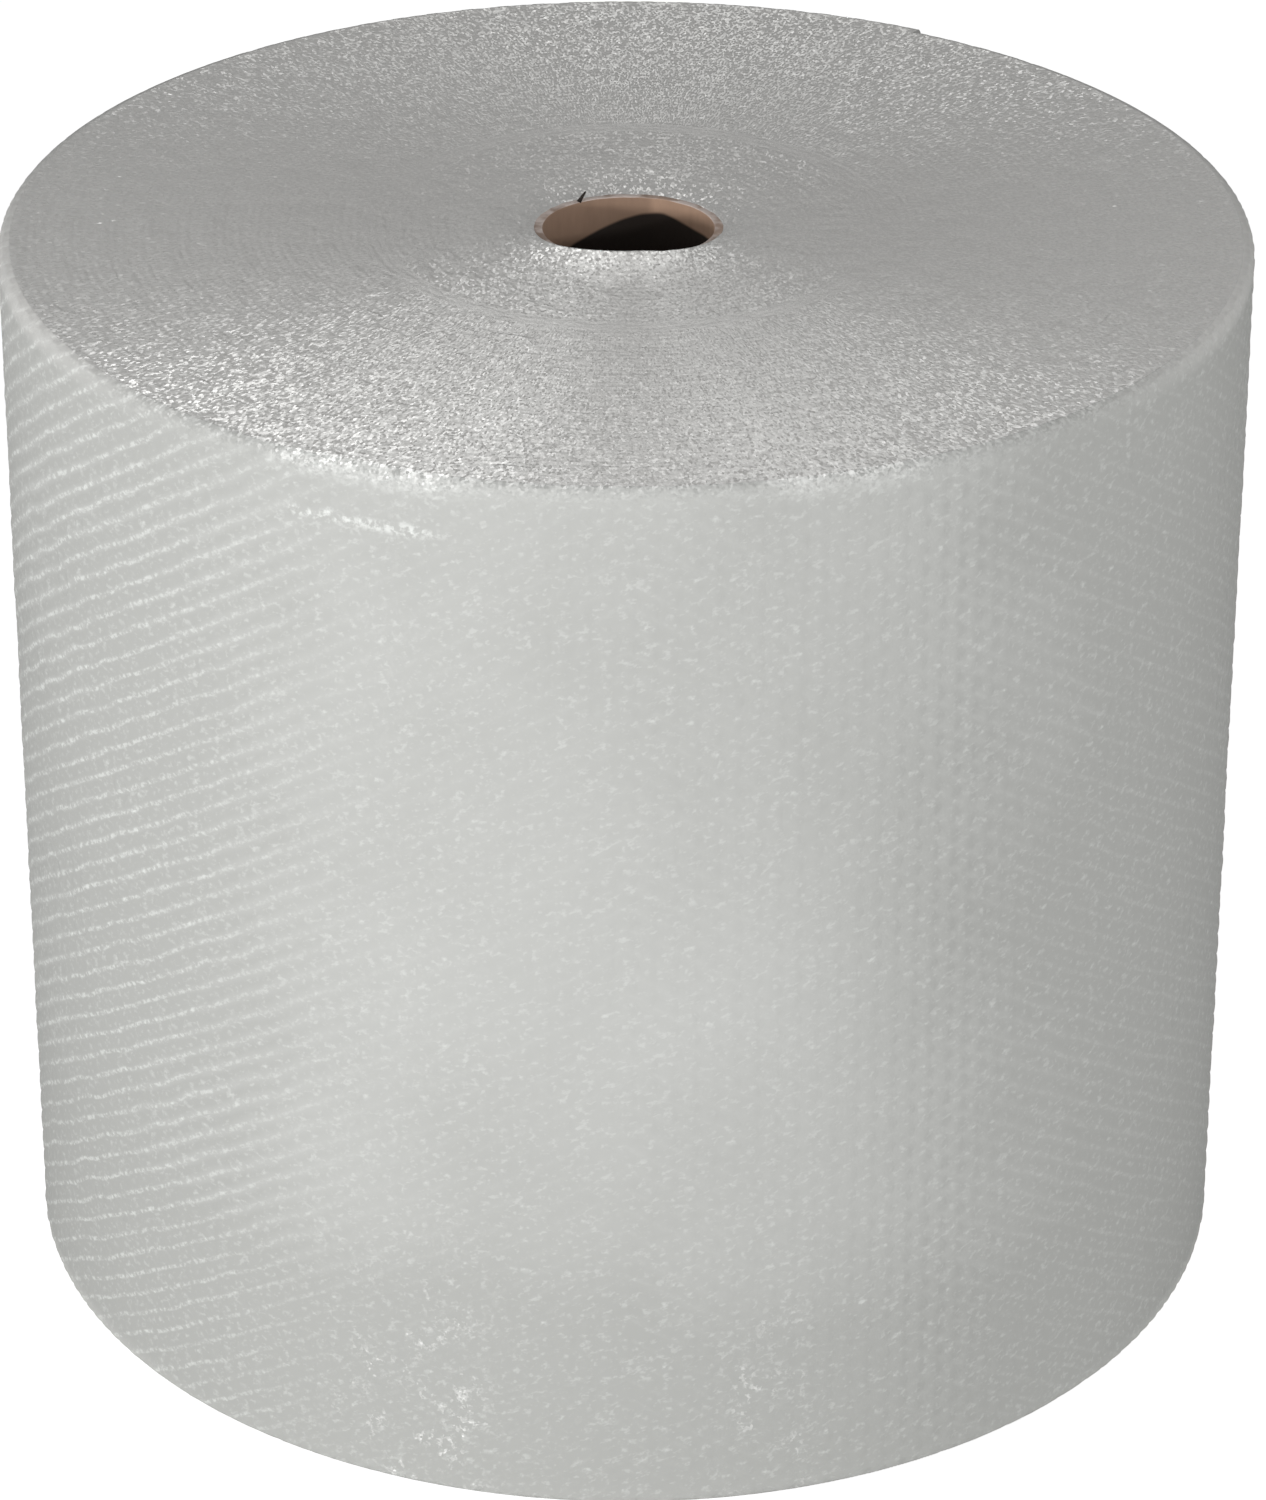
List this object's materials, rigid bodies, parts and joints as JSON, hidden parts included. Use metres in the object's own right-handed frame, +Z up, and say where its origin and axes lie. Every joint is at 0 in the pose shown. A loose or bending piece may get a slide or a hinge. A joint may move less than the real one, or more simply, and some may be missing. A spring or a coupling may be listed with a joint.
{
  "type": "bubble wrap roll",
  "caption": "Roll of small-bubble cushioning film wound on a cardboard core, standing on its end.",
  "frame": {"origin": "on the axis of the core, at the lower end of the roll", "axes": "+Z up along the core's axis, -Y towards the front of the picture"},
  "size_m": [0.563, 0.5658, 0.5],
  "materials": {
    "core_board": "plain brown spiral-wound board, matt",
    "bubble_film": "clear polyethylene air-bubble film in many turns, milky grey-white, glossy"
  },
  "bodies": {
    "root": {"core_tube": "core_board", "wound_film": "bubble_film"}
  },
  "joints": []
}
